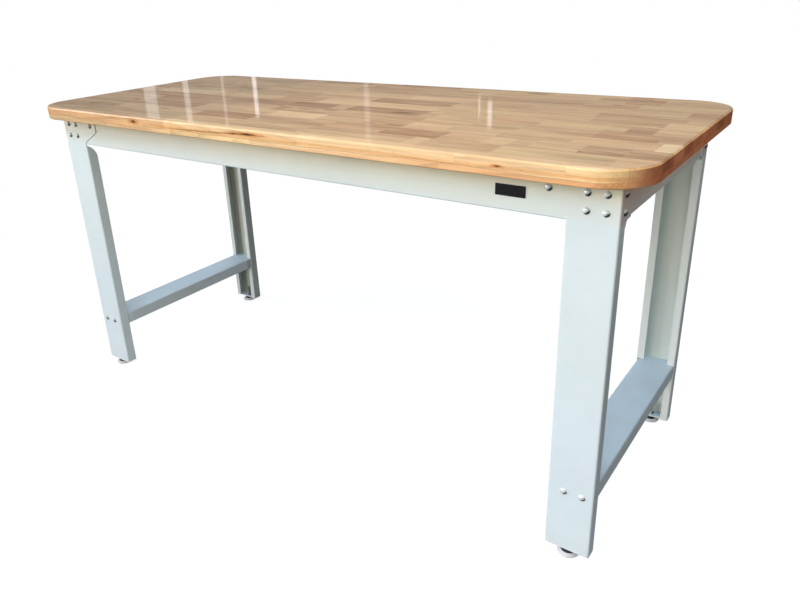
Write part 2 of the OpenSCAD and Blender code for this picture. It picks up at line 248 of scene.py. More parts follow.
def makeMottleGroup():
    # mottle: five octaves of noise round 1, as a factor on a colour
    tree, given, result = newGroup(
        "mottle",
        [("Position", "NodeSocketVector", None), ("Patch Size", "NodeSocketFloat", 0.1),
         ("Depth", "NodeSocketFloat", 0.05)],
        [("Factor", "NodeSocketFloat")])
    value = noise(tree, given["Position"], calc(tree, "DIVIDE", 1.0, given["Patch Size"]), 5.0, 0.55)
    offset = swing(tree, value, product(tree, given["Depth"], 2.0))
    join(tree, calc(tree, "ADD", offset, 1.0), result["Factor"])
    return tree


dustGroup = makeDustGroup(dustValues)
mottleGroup = makeMottleGroup()


def dustOver(tree, place, normal, v):
    given = {"Position": place, "Normal": normal, "Patch Size": v["dustSize"], "Amount": v["dustAmount"]}
    return useGroup(tree, dustGroup, **given)["Mask"]


def mottleOver(tree, place, size, depth):
    return useGroup(tree, mottleGroup, **{"Position": place, "Patch Size": size, "Depth": depth})["Factor"]


print("shared effects built")


# Laminated top
topValues = dict(
    length=1.8,
    # front edges of the stave rows, metres across the bench
    rowEdges=(-0.350, -0.282, -0.214, -0.146, -0.078, -0.010, 0.058, 0.126, 0.194, 0.262, 0.330),
    # each row: where a stave starts along the bench in mm, its tone (1 is pale) and its hue (1 is greenish)
    rows=(
        ((-900, .60, .35), (-301, .84, .55), (150, .80, .50), (548, .78, .52), (765, .74, .45)),
        ((-900, .44, .66), (-560, .50, .70), (-300, .58, .50), (-120, .50, .62), (120, .52, .50),
         (405, .74, .45), (440, .42, .45), (600, .60, .72), (825, .64, .30)),
        ((-900, .48, .48), (-640, .56, .45), (-300, .24, .15), (-100, .44, .52), (135, .40, .30),
         (300, .28, .22), (445, .62, .32), (545, .60, .60), (640, .70, .58), (745, .38, .32)),
        ((-900, .46, .50), (-620, .36, .30), (-380, .62, .35), (-105, .80, .48), (60, .46, .42),
         (200, .44, .30), (310, .66, .40), (420, .56, .45), (560, .56, .52), (700, .64, .32),
         (860, 1.0, .55)),
        ((-900, .58, .35), (-650, .38, .22), (-400, .52, .40), (-150, .46, .52), (40, .50, .48),
         (310, .60, .45), (450, .50, .62), (560, .44, .40), (720, .34, .20), (850, .40, .22)),
        ((-900, .38, .20), (-690, .36, .18), (-500, .36, .35), (-160, .24, .25), (0, .44, .42),
         (45, .24, .38), (275, .60, .58), (450, .52, .25), (570, .60, .62), (765, .32, .30), (822, .54, .40)),
        ((-900, .60, .52), (-790, .76, .52), (-520, .62, .30), (-255, .48, .25), (-110, .76, .46),
         (270, .58, .62), (450, .62, .40), (660, .58, .60), (820, .68, .58)),
        ((-900, .46, .48), (-500, .46, .68), (-180, .56, .35), (30, .36, .45), (280, .50, .50),
         (510, .56, .45), (650, .42, .40), (845, .58, .52)),
        ((-900, .42, .42), (-450, .54, .30), (-200, .66, .40), (100, .70, .40), (300, .46, .48),
         (470, .52, .60), (655, .58, .62), (835, .36, .35)),
        ((-900, .54, .42), (-400, .60, .55), (-150, .48, .38), (80, .52, .60), (290, .40, .50),
         (570, .50, .42), (705, .62, .62)),
        ((-900, .50, .50), (-420, .56, .40), (-160, .40, .30), (60, .50, .55), (240, .64, .50),
         (580, .46, .50), (655, .30, .10), (742, .54, .58)),
        ((-900, .48, .50), (-350, .40, .45), (-60, .36, .40), (160, .56, .68), (440, .60, .50),
         (650, .36, .15), (710, .56, .55)),
    ),
    rowWander=0.002, rowScale=7.0, rowSeam=0.0007, rowSeamDark=0.30,
    toneStops=((0.0, (0.190, 0.088, 0.040)), (0.30, (0.405, 0.236, 0.126)), (0.50, (0.588, 0.388, 0.220)),
               (0.72, (0.750, 0.512, 0.292)), (1.0, (0.900, 0.715, 0.470))),
    hueStops=((0.0, (1.05, 0.97, 0.96)), (0.5, (1.0, 1.0, 1.0)), (1.0, (0.94, 1.01, 0.92))),
    # contrast between staves, and the tone it is taken round
    staveContrast=0.66, middleTone=0.54,
    # how far each part of the grain moves the tone
    figure=0.50, fibres=0.32, streaks=0.46, rings=0.16,
    poreShare=0.35, poreColour=(0.16, 0.075, 0.035),
    # the board's two layers: heights between which their seam wanders, and half its width. The lower layer's
    # staves are shifted along, and its tones are shrunk to a span and raised
    layerSeam=(0.851, 0.862), layerScale=3.2, layerSeamHalf=0.0008,
    lowerShift=0.17, lowerSpan=0.42, lowerRaise=0.50,
    # the layer seam is fainter round the corners: normal's X from and to, strength from and to
    seamDark=(0.05, 0.40, 0.45, 0.15),
    # tints of the front edge from the left end to the right, paler cream above and orange below, partly the
    # two layers' own colours and partly a painted highlight on the upper rounding, and a factor that raises
    # them all
    edgeUpperAndHighlight=((0.08, (1.09, 0.88, 0.63)), (0.28, (1.32, 1.18, 0.92)), (0.42, (1.03, 0.90, 0.72)),
               (0.60, (1.14, 1.09, 0.97)), (0.90, (1.16, 1.12, 1.00)), (1.0, (1.40, 1.36, 1.06))),
    edgeLower=((0.10, (0.98, 0.93, 0.77)), (0.29, (0.97, 0.82, 0.64)), (0.38, (1.27, 1.20, 1.00)),
               (0.54, (1.32, 1.29, 1.14)), (0.72, (1.17, 1.04, 0.87)), (1.0, (1.08, 0.76, 0.52))),
    edgeLift=(1.08, 1.10, 1.14),
    # end grain, right and left, darker with painted shade, and a painted highlight on the end's upper arris
    endGrainAndShade=(0.80, 0.40, 0.30), endGrainAndShadeLeft=(0.60, 0.42, 0.33), endArrisHighlight=(1.14, 1.04, 0.94),
    # how far the normal turns along X or Z where sides, ends and the arris of an end fade in or out
    sideZ=(0.75, 0.55), endX=(0.58, 1.0), endZ=(0.5, 0.2),
    arrisX=(0.20, 0.60), arrisZIn=(0.20, 0.55), arrisZOut=(0.99, 0.93),
    # an orange band where the two layers meet on the edge: height, half its width, where it fades in, tint
    bandHeight=0.8615, bandHalf=0.0065, bandFrom=(-0.47, -0.30), bandTint=(0.90, 0.74, 0.58),
    # painted shade: the left part of the top is a little darker and greyer
    leftShadeFrom=(-0.05, -0.50), leftShadeFacing=(0.8, 0.95), leftShadeTint=(0.90, 0.925, 0.96),
    # knots: centre in mm, length along the bench, height or width
    edgeKnots=((-421, 866.5, 13, 5.0), (637, 864.6, 8, 2.2), (4, 868.2, 36, 3.2), (-40, 866.8, 22, 1.4)),
    topKnots=((-440, -251, 34, 5.5), (403, 336, 46, 12), (-100, 306, 40, 8), (655, 232, 17, 8),
              (-682, -163, 26, 10), (228, -50, 50, 9), (205, -60, 26, 5), (290, -194, 40, 6),
              (-464, 150, 60, 5)),
    topKnotShare=0.62, knotColour=(0.040, 0.020, 0.010), raggedScale=260.0, ragged=0.004,
    # the wood round an edge knot is stained orange brown, over this many times its size
    knotHalo=(2.6, 2.2), haloTint=(0.80, 0.50, 0.26),
    # a fine split along the front edge into the widest knot: height at the middle, slope, half its width, and
    # where it fades in and out
    splitHeight=0.8665, splitSlope=0.024, splitHalf=0.0013, splitFrom=(-0.32, -0.20), splitTo=(0.07, 0.02),
    frontFrom=-0.36,
    dustSize=0.24, dustAmount=0.10, dustColour=(0.62, 0.58, 0.52),
    # lacquer weight seen squarely and at a glancing angle, between these facing values, and underneath
    lacquerSquare=0.60, lacquerGlancing=0.15, lacquerFacing=(0.45, 0.75), lacquerBelow=0.2,
    belowZ=(-0.6, 0.0), lacquerRough=0.05, lacquerIndex=1.5,
    roughFrom=0.38, roughTo=0.48, endRough=0.12, reliefHigh=0.00012, relief=0.7,
)

grainValues = dict(
    # stretch of each pattern, in repeats for each metre along and across the grain
    bendScale=(1.6, 5.0, 5.0), fibreScale=(5.0, 330.0, 330.0), poreScale=(42.0, 1500.0, 1500.0),
    figureScale=(1.9, 26.0, 26.0), streakScale=(6.5, 62.0, 62.0),
    # rings: their spacing, how the pith line bends and slopes, where it lies, and how sharply late wood ends
    ringSpacing=0.0042, bend=0.055, slope=0.10, middle=0.86, pithAcross=0.32, pithAbove=(0.02, 0.16),
    late=2.2, porePart=(0.60, 0.74),
    # factors that turn a stave's own number into its place in the patterns
    dice=91.7, shift=(37.0, 11.0, 5.0),
)


def makeStaveGroup(v):
    # stave layout: a row is chosen by the place across the bench, a stave by the place along it
    tree, given, result = newGroup(
        "staveLayout", [("Position", "NodeSocketVector", None)],
        [("Tone", "NodeSocketFloat"), ("Hue", "NodeSocketFloat"), ("Seed", "NodeSocketFloat"),
         ("Seam", "NodeSocketFloat")])
    x, y, _ = parts(tree, given["Position"])
    # the seams between rows wander a little
    wander = swing(tree, noise(tree, gather(tree, x, 0.0, 0.0), v["rowScale"], 2.0), v["rowWander"])
    yHere = calc(tree, "ADD", y, wander)
    along = calc(tree, "ADD", calc(tree, "DIVIDE", x, v["length"]), 0.5)
    chosen, seam = None, None
    spread = np.random.default_rng(7).permutation(200) / 200.0
    count = 0
    for i, row in enumerate(v["rows"]):
        stops = []
        for start, tone, hue in row:
            stops.append((start / 1000 / v["length"] + 0.5, (tone, hue, float(spread[count]))))
            count += 1
        colour = ramp(tree, along, stops, "CONSTANT")
        if chosen is None:
            chosen = colour
            continue
        border = v["rowEdges"][i - 1]
        chosen = blendColour(tree, above(tree, yHere, border), chosen, colour)
        line = remap(tree, gapTo(tree, yHere, border), 0.0, v["rowSeam"], 1.0, 0.0)
        seam = line if seam is None else calc(tree, "MAXIMUM", seam, line)
    split = put(tree, "ShaderNodeSeparateColor", [chosen])
    for i, name in enumerate(("Tone", "Hue", "Seed")):
        join(tree, split.outputs[i], result[name])
    join(tree, seam, result["Seam"])
    return tree


def makeGrainGroup(v):
    # wood grain: rings are circles round a pith line that runs nearly along X at a place of its own in
    # each stave, fibres and pores are noise stretched along X
    tree, given, result = newGroup(
        "woodGrain",
        [("Position", "NodeSocketVector", None), ("Seed", "NodeSocketFloat", 0.0),
         ("Ring Spacing", "NodeSocketFloat", 0.004)],
        [("Rings", "NodeSocketFloat"), ("Fibres", "NodeSocketFloat"), ("Pores", "NodeSocketFloat"),
         ("Figure", "NodeSocketFloat"), ("Streaks", "NodeSocketFloat")])
    seed = given["Seed"]
    dice = put(tree, "ShaderNodeTexWhiteNoise", noise_dimensions="1D",
               named={"W": product(tree, seed, v["dice"])})
    dx, dy, dz = parts(tree, dice.outputs["Color"])
    shift = gather(tree, *(product(tree, n, size) for n, size in zip((seed, dy, dz), v["shift"])))
    here = vectorCalc(tree, "ADD", given["Position"], shift)
    x, y, z = parts(tree, given["Position"])
    bend = swing(tree, noise(tree, stretch(tree, here, *v["bendScale"]), 1.0, 2.0, 0.5), v["bend"])
    sloped = calc(tree, "ADD", y, product(tree, x, swing(tree, dx, v["slope"])))
    fromPithY = calc(tree, "ADD", sloped, remap(tree, dy, 0.0, 1.0, -v["pithAcross"], v["pithAcross"]))
    raised = calc(tree, "SUBTRACT", z, v["middle"])
    raised = calc(tree, "ADD", raised, remap(tree, dz, 0.0, 1.0, *v["pithAbove"]))
    fromPithZ = calc(tree, "ADD", raised, bend)
    turns = calc(tree, "DIVIDE", reachOf(tree, fromPithY, fromPithZ), given["Ring Spacing"])
    # early wood fades in slowly, late wood ends sharply
    join(tree, calc(tree, "POWER", calc(tree, "FRACT", turns), v["late"]), result["Rings"])
    join(tree, noise(tree, stretch(tree, here, *v["fibreScale"]), 1.0, 4.0, 0.62), result["Fibres"])
    pores = noise(tree, stretch(tree, here, *v["poreScale"]), 1.0, 2.0, 0.5)
    join(tree, remap(tree, pores, *v["porePart"]), result["Pores"])
    join(tree, noise(tree, stretch(tree, here, *v["figureScale"]), 1.0, 3.0, 0.55, 0.4), result["Figure"])
    join(tree, noise(tree, stretch(tree, here, *v["streakScale"]), 1.0, 4.0, 0.62, 0.5), result["Streaks"])
    return tree


def ellipse(tree, a, b, centre, length, width):
    # 1 in the middle of an ellipse, falling to 0 at its rim
    u = calc(tree, "DIVIDE", calc(tree, "SUBTRACT", a, centre[0]), length)
    w = calc(tree, "DIVIDE", calc(tree, "SUBTRACT", b, centre[1]), width)
    return remap(tree, reachOf(tree, u, w), 1.0, 0.25, smooth=True)


def makeTopMaterial(v, g):
    made, tree, shader, where = newMaterial("lacqueredStaves")
    place, normal = where.outputs["Object"], where.outputs["Normal"]
    staves, grain = makeStaveGroup(v), makeGrainGroup(g)
    x, y, z = parts(tree, place)
    up = parts(tree, normal)[2]
    nx, _, nz = (calc(tree, "ABSOLUTE", n) for n in parts(tree, normal))
    # the board is glued from two layers, and the seam between them wanders
    wave = noise(tree, gather(tree, x, 0.0, 0.0), v["layerScale"], 2.0, 0.5)
    seamHeight = remap(tree, wave, 0.25, 0.75, *v["layerSeam"])
    lower = below(tree, z, seamHeight)
    layerSeam = remap(tree, gapTo(tree, z, seamHeight), 0.0, v["layerSeamHalf"], 1.0, 0.0)
    upperStave = useGroup(tree, staves, Position=place)
    turned = vectorCalc(tree, "ADD", vectorCalc(tree, "MULTIPLY", place, (-1.0, -1.0, 1.0)),
                        (v["lowerShift"], 0.0, 0.0))
    lowerStave = useGroup(tree, staves, Position=turned)

    def layered(name):
        mixer = put(tree, "ShaderNodeMix", data_type="FLOAT")
        join(tree, lower, mixer.inputs[0])
        join(tree, upperStave[name], mixer.inputs[2])
        join(tree, lowerStave[name], mixer.inputs[3])
        return mixer.outputs[0]

    tone, hue, seed = layered("Tone"), layered("Hue"), layered("Seed")
    # the lower layer is a little more even
    even = calc(tree, "ADD", product(tree, tone, v["lowerSpan"]), v["lowerRaise"])
    tone = calc(tree, "ADD", tone, product(tree, lower, calc(tree, "SUBTRACT", even, tone)))
    tone = calc(tree, "ADD", swing(tree, tone, v["staveContrast"], v["middleTone"]), v["middleTone"])
    fibre = useGroup(tree, grain, **{"Position": place, "Seed": seed, "Ring Spacing": g["ringSpacing"]})
    level = tone
    for name, size in (("Figure", v["figure"]), ("Fibres", v["fibres"]), ("Streaks", v["streaks"])):
        level = calc(tree, "ADD", level, swing(tree, fibre[name], size))
    level = calc(tree, "SUBTRACT", level, product(tree, fibre["Rings"], v["rings"]))
    colour = ramp(tree, level, v["toneStops"])
    colour = blendColour(tree, 1.0, colour, ramp(tree, hue, v["hueStops"]), "MULTIPLY")
    colour = blendColour(tree, product(tree, fibre["Pores"], v["poreShare"]), colour, v["poreColour"])
    # painted shade on the left part of the top
    leftShade = product(tree, remap(tree, x, *v["leftShadeFrom"], smooth=True), remap(tree, up, *v["leftShadeFacing"]))
    colour = tinted(tree, colour, leftShade, v["leftShadeTint"])
    # end grain drinks the lacquer and turns dark; the tint also paints the shade on the ends
    endFace = product(tree, remap(tree, nx, *v["endX"], smooth=True), remap(tree, nz, *v["endZ"]))
    endShadeTint = blendColour(tree, below(tree, x, 0.0), v["endGrainAndShade"], v["endGrainAndShadeLeft"])
    colour = tinted(tree, colour, endFace, endShadeTint)
    # the front edge: the layers' own tints, with a painted highlight on the upper rounding
    sideFace = remap(tree, nz, *v["sideZ"])
    along = calc(tree, "ADD", calc(tree, "DIVIDE", x, v["length"]), 0.5)
    edgeTint = blendColour(tree, lower, ramp(tree, along, v["edgeUpperAndHighlight"]), ramp(tree, along, v["edgeLower"]))
    edgeTint = vectorCalc(tree, "MULTIPLY", edgeTint, v["edgeLift"])
    edgeShare = product(tree, sideFace, calc(tree, "SUBTRACT", 1.0, endFace))
    colour = tinted(tree, colour, edgeShare, edgeTint)
    onFront = product(tree, below(tree, y, v["frontFrom"]), sideFace)
    ragged = swing(tree, noise(tree, place, v["raggedScale"], 3.0), v["ragged"])
    xr, yr, zr = (calc(tree, "ADD", n, ragged) for n in (x, y, z))
    band = remap(tree, gapTo(tree, zr, v["bandHeight"]), v["bandHalf"], 0.0, smooth=True)
    band = product(tree, band, edgeShare, remap(tree, x, *v["bandFrom"]))
    colour = tinted(tree, colour, band, v["bandTint"])
    # seams between layers and rows
    dark = product(tree, layerSeam, sideFace, remap(tree, nx, *v["seamDark"]))
    dark = calc(tree, "MAXIMUM", dark, product(tree, upperStave["Seam"], v["rowSeamDark"]))
    # knots, and the stain round those on the edge
    stain = None
    for cx, cz, length, high in v["edgeKnots"]:
        centre, size = (cx / 1000, cz / 1000), (length / 1000, high / 1000)
        spot = ellipse(tree, xr, zr, centre, *size)
        dark = calc(tree, "MAXIMUM", dark, product(tree, spot, onFront))
        halo = ellipse(tree, xr, zr, centre, size[0] * v["knotHalo"][0], size[1] * v["knotHalo"][1])
        stain = halo if stain is None else calc(tree, "MAXIMUM", stain, halo)
    colour = tinted(tree, colour, product(tree, stain, onFront), v["haloTint"])
    split = calc(tree, "ADD", v["splitHeight"], product(tree, x, v["splitSlope"]))
    split = remap(tree, gapTo(tree, zr, split), 0.0, v["splitHalf"], 1.0, 0.0)
    reach = product(tree, remap(tree, x, *v["splitFrom"]), remap(tree, x, *v["splitTo"]))
    dark = calc(tree, "MAXIMUM", dark, product(tree, split, reach, onFront))
    onTop = above(tree, up, 0.5)
    for cx, cy, length, wide in v["topKnots"]:
        spot = ellipse(tree, xr, yr, (cx / 1000, cy / 1000), length / 1000, wide / 1000)
        dark = calc(tree, "MAXIMUM", dark, product(tree, spot, onTop, v["topKnotShare"]))
    # a painted highlight on the upper arris of each end
    arris = product(tree, remap(tree, nx, *v["arrisX"]),
                    product(tree, remap(tree, nz, *v["arrisZIn"]), remap(tree, nz, *v["arrisZOut"])))
    colour = tinted(tree, colour, arris, v["endArrisHighlight"])
    colour = blendColour(tree, dark, colour, v["knotColour"])
    colour = blendColour(tree, dustOver(tree, place, normal, v), colour, v["dustColour"])
    join(tree, colour, shader.inputs["Base Color"])
    rough = spanned(tree, fibre["Fibres"], v["roughFrom"], v["roughTo"])
    rough = calc(tree, "ADD", rough, product(tree, endFace, v["endRough"]))
    join(tree, rough, shader.inputs["Roughness"])
    # lacquer: full on the top and edges, thin underneath
    glance = put(tree, "ShaderNodeLayerWeight", [0.5]).outputs["Facing"]
    lacquer = remap(tree, glance, *v["lacquerFacing"], v["lacquerSquare"], v["lacquerGlancing"], smooth=True)
    lacquer = product(tree, lacquer, remap(tree, up, *v["belowZ"], v["lacquerBelow"], 1.0))
    join(tree, lacquer, shader.inputs["Coat Weight"])
    shader.inputs["Coat Roughness"].default_value = v["lacquerRough"]
    shader.inputs["Coat IOR"].default_value = v["lacquerIndex"]
    shader.inputs["Specular IOR Level"].default_value = 0.0
    sunk = calc(tree, "ADD", fibre["Pores"], dark)
    height = calc(tree, "SUBTRACT", product(tree, fibre["Fibres"], 0.5), sunk)
    join(tree, bump(tree, height, v["reliefHigh"], v["relief"]), shader.inputs["Normal"])
    return made


topMaterial = makeTopMaterial(topValues, grainValues)
print("laminated top finished")


# Powder coated frame
frameValues = dict(
    colour=(0.750, 0.822, 0.800), cool=(0.738, 0.822, 0.830), driftScale=2.2,
    # painted blue sky light: bluer towards the floor, faded in between these two heights, and where it lies
    # flat near the floor
    skyBlueBelow=(0.50, 0.30), skyBlueTint=(1.0, 1.01, 1.05), flatSkyBlueBelow=0.22, flatSkyBlueTint=(0.81, 0.93, 1.06),
    # painted warm bounce light and shade close under the top: two heights and tints from the lower to the
    # upper one.
    # Painted shade along the bench, deeper at the left, comes on top, between places this far left and right,
    # and fades in over this part of the height
    warmFrom=0.765, warmTo=0.846,
    warmLightAndShade=((0.0, (1.0, 1.0, 1.0)), (0.09, (1.04, 0.99, 0.93)), (0.25, (1.05, 0.975, 0.88)),
               (0.45, (1.055, 0.94, 0.80)), (0.62, (1.14, 0.95, 0.74)), (0.76, (1.20, 0.94, 0.63)),
               (1.0, (1.20, 0.92, 0.58))),
    warmHalf=0.8, warmAlongFade=(0.05, 0.4),
    shadeAlongBench=((0.0, (0.88, 0.88, 0.87)), (0.15, (0.92, 0.91, 0.88)), (0.38, (1.0, 0.99, 0.97)),
               (0.60, (1.02, 1.03, 1.02)), (1.0, (0.99, 1.04, 1.09))),
    # inner faces of the leg webs, olive with painted warm bounce light: how far they are from the middle
    # plane
    insideFace=(0.3155, 0.3195), insideWarmBounce=(1.04, 0.98, 0.87),
    # places of the legs: how far from the middle plane they begin, where the right ones begin, where their
    # outer flanges begin, and where lips end and webs begin
    legsFrom=0.27, rightFrom=0.74, flangeEnd=0.84, lipDepth=0.30,
    # flanges that face right: painted shade on the rear legs, painted light inside the front left leg
    rearFlangeShade=(0.72, 0.70, 0.65), frontFlangeLight=(1.12, 1.14, 1.14),
    # rear left leg: painted olive shade on its front faces, and painted shade on the web beside its outer
    # flange
    rearWebShade=(1.0, 0.94, 0.86), outerShade=(0.48, 0.49, 0.48), outerFrom=(-0.812, -0.824),
    # rear right leg: painted light on the lips, which makes them greyer, and painted shade on the web beside
    # its inner flange
    rearLipLight=(1.06, 0.98, 0.90), rearShade=(0.72, 0.80, 0.86), innerFrom=(0.792, 0.768),
    # the right end rail, in the shade of the top, gets a painted brown shade
    endFace=(0.8455, 0.8465), endShadeTint=(0.95, 0.70, 0.66),
    mottleSize=0.035, mottle=0.025, fineSize=0.0016, fine=0.03,
    # dust and dirt have one colour, and dirt fades in downwards between two heights
    dustSize=0.12, dustAmount=0.35, dustColour=(0.50, 0.49, 0.45),
    dirtFrom=0.09, dirtTo=0.012, dirtShare=0.22, dirtScale=45.0,
    roughScale=30.0, roughFrom=0.36, roughTo=0.50, gloss=0.4,
    # orange peel and faint waves of the sheet
    peelSize=0.0012, peelHigh=0.00005, peel=0.9, waveScale=14.0, waveHigh=0.0006, wave=0.25,
)


def makeFrameMaterial(v):
    made, tree, shader, where = newMaterial("powderCoat")
    place, normal = where.outputs["Object"], where.outputs["Normal"]
    x, y, z = parts(tree, place)
    nx, ny, nz = parts(tree, normal)
    drift = spanned(tree, noise(tree, place, v["driftScale"], 2.0))
    colour = blendColour(tree, drift, v["colour"], v["cool"])
    # painted blue sky light, stronger towards the floor
    colour = tinted(tree, colour, remap(tree, z, *v["skyBlueBelow"], smooth=True), v["skyBlueTint"])
    # painted warm bounce light and shade close under the top, with painted shade deeper at the left end
    height = remap(tree, z, v["warmFrom"], v["warmTo"])
    colour = blendColour(tree, 1.0, colour, ramp(tree, height, v["warmLightAndShade"]), "MULTIPLY")
    along = ramp(tree, remap(tree, x, -v["warmHalf"], v["warmHalf"]), v["shadeAlongBench"])
    colour = tinted(tree, colour, remap(tree, height, *v["warmAlongFade"]), along)
    # faces are told apart by where they are and which way they look
    deep, underTop = calc(tree, "ABSOLUTE", y), below(tree, z, v["warmFrom"])
    nearest, farthest = v["insideFace"]
    inward = below(tree, product(tree, ny, calc(tree, "SIGN", y)), -0.5)
    inside = product(tree, above(tree, deep, nearest), below(tree, deep, farthest), inward)
    right = product(tree, above(tree, nx, 0.7), underTop, below(tree, x, v["flangeEnd"]))
    rear = product(tree, right, above(tree, y, v["legsFrom"]))
    front = product(tree, right, below(tree, calc(tree, "MAXIMUM", x, y), -v["legsFrom"]))
    facing = product(tree, below(tree, ny, -0.7), above(tree, y, v["legsFrom"]))
    leftLeg = product(tree, facing, below(tree, x, 0.0))
    outer = product(tree, leftLeg, remap(tree, x, *v["outerFrom"], smooth=True), underTop,
                    above(tree, y, v["lipDepth"]))
    rightLeg = product(tree, facing, above(tree, x, v["rightFrom"]))
    lip = product(tree, rightLeg, below(tree, y, v["lipDepth"]))
    inner = product(tree, calc(tree, "SUBTRACT", rightLeg, lip), remap(tree, x, *v["innerFrom"], smooth=True))
    end = product(tree, remap(tree, x, *v["endFace"]), remap(tree, z, v["warmFrom"], v["warmTo"], 0.5, 1.0),
                  above(tree, z, v["warmFrom"]), remap(tree, nx, 0.6, 0.95))
    # painted blue sky light on flats near the floor
    low = product(tree, below(tree, z, v["flatSkyBlueBelow"]), remap(tree, nz, 0.5, 0.9))
    # painted light and shade on single faces of the frame, each by its share and tint
    for share, tint in ((inside, "insideWarmBounce"), (rear, "rearFlangeShade"), (front, "frontFlangeLight"),
                        (leftLeg, "rearWebShade"), (outer, "outerShade"), (lip, "rearLipLight"), (inner, "rearShade"),
                        (end, "endShadeTint"), (low, "flatSkyBlueTint")):
        colour = tinted(tree, colour, share, v[tint])
    grey = product(tree, mottleOver(tree, place, v["mottleSize"], v["mottle"]),
                   mottleOver(tree, place, v["fineSize"], v["fine"]))
    colour = vectorCalc(tree, "SCALE", colour, None, None, grey)
    # floor dirt reaches a little way up the legs
    dirt = product(tree, remap(tree, z, v["dirtFrom"], v["dirtTo"], smooth=True),
                   noise(tree, place, v["dirtScale"], 4.0, 0.6), v["dirtShare"])
    dirt = calc(tree, "MAXIMUM", dustOver(tree, place, normal, v), dirt)
    colour = blendColour(tree, dirt, colour, v["dustColour"])
    join(tree, colour, shader.inputs["Base Color"])
    rough = spanned(tree, noise(tree, place, v["roughScale"], 3.0), v["roughFrom"], v["roughTo"])
    join(tree, rough, shader.inputs["Roughness"])
    shader.inputs["Specular IOR Level"].default_value = v["gloss"]
    waves = bump(tree, noise(tree, place, v["waveScale"], 2.0, 0.4), v["waveHigh"], v["wave"])
    peel = noise(tree, place, 1.0 / v["peelSize"], 1.0, 0.4)
    join(tree, bump(tree, peel, v["peelHigh"], v["peel"], waves), shader.inputs["Normal"])
    return made


frameMaterial = makeFrameMaterial(frameValues)
print("powder coat finished")


# Zinc plated bolts, nuts, screws and studs
zincValues = dict(
    colour=(0.71, 0.76, 0.75), warm=(0.71, 0.71, 0.65), filmScale=70.0, spotSize=0.0025, spots=0.10,
    # a painted shadow and dark reflection on the sides of heads that face down and right, weaker at the left
    # end, where heads get a painted shade, duller and browner, as well
    headShadow=(0.018, 0.020, 0.024), headShadowWay=(0.60, 0.0, -0.80), headShadowFrom=0.27, headShadowTo=0.37,
    headShadowMost=0.95, headShadowLeft=0.5, leftHeadShade=(0.55, 0.53, 0.47),
    dustSize=0.02, dustAmount=0.4, dustColour=(0.42, 0.41, 0.38), dustHides=0.7,
    metal=0.2, roughScale=400.0, roughFrom=0.24, roughTo=0.38,
    grainScale=1400.0, grainHigh=0.00003, grain=0.8,
    # threads: each stud's axis and the rise of one turn
    studX=0.8, studY=0.304, pitch=0.0015, threadDeep=0.9,
)


def makeZincMaterial(v, name, threaded=False):
    made, tree, shader, where = newMaterial(name)
    place, normal = where.outputs["Object"], where.outputs["Normal"]
    x, y, z = parts(tree, place)
    film = remap(tree, noise(tree, place, v["filmScale"], 3.0, 0.55), 0.35, 0.75, 0.0, 0.6)
    colour = blendColour(tree, film, v["colour"], v["warm"])
    spots = mottleOver(tree, place, v["spotSize"], v["spots"])
    colour = vectorCalc(tree, "SCALE", colour, None, None, spots)
    # painted shade on heads at the left end
    leftEnd = below(tree, x, 0.0)
    colour = tinted(tree, colour, leftEnd, v["leftHeadShade"])
    dust = dustOver(tree, place, normal, v)
    colour = blendColour(tree, dust, colour, v["dustColour"])
    # painted shadow and dark reflection on the sides of heads that face down and right
    turned = vectorCalc(tree, "DOT_PRODUCT", normal, v["headShadowWay"], out="Value")
    headShadow = remap(tree, turned, v["headShadowFrom"], v["headShadowTo"], 0.0, v["headShadowMost"], smooth=True)
    weaker = product(tree, leftEnd, v["headShadowLeft"])
    headShadow = product(tree, headShadow, calc(tree, "SUBTRACT", 1.0, weaker))
    colour = blendColour(tree, headShadow, colour, v["headShadow"])
    join(tree, colour, shader.inputs["Base Color"])
    hidden = calc(tree, "MAXIMUM", product(tree, dust, v["dustHides"]), headShadow)
    join(tree, product(tree, calc(tree, "SUBTRACT", 1.0, hidden), v["metal"]), shader.inputs["Metallic"])
    rough = spanned(tree, noise(tree, place, v["roughScale"], 2.0), v["roughFrom"], v["roughTo"])
    join(tree, rough, shader.inputs["Roughness"])
    relief = bump(tree, noise(tree, place, v["grainScale"], 2.0), v["grainHigh"], v["grain"])
    if threaded:
        # thread: a saw tooth of the height plus the turn round the stud's own axis
        u, w = fromStud(tree, x, y, v)
        hand = calc(tree, "SIGN", product(tree, x, y))
        turn = calc(tree, "DIVIDE", product(tree, calc(tree, "ARCTAN2", w, u), hand), 2 * math.pi)
        phase = calc(tree, "SUBTRACT", calc(tree, "DIVIDE", z, v["pitch"]), turn)
        tooth = calc(tree, "PINGPONG", phase, 0.5)
        relief = bump(tree, tooth, v["pitch"] * v["threadDeep"], 1.0, relief)
    join(tree, relief, shader.inputs["Normal"])
    return made


zincMaterial = makeZincMaterial(zincValues, "zincPlate")
studMaterial = makeZincMaterial(zincValues, "zincThread", threaded=True)
print("zinc plate finished")


# Moulded foot pads
padValues = dict(
    colour=(0.72, 0.71, 0.75), mottleSize=0.012, mottle=0.06,
    # painted shade: a black hub round the stud, with a narrow soft border, where the leg above shades the pad
    hub=(0.030, 0.030, 0.032), hubRadius=0.0165, hubSoft=0.0002, studX=0.8, studY=0.304,
    dustSize=0.03, dustAmount=0.3, dustColour=(0.40, 0.39, 0.37),
    roughScale=120.0, roughFrom=0.42, roughTo=0.58, grainScale=1800.0, grainHigh=0.00004, grain=0.8,
)


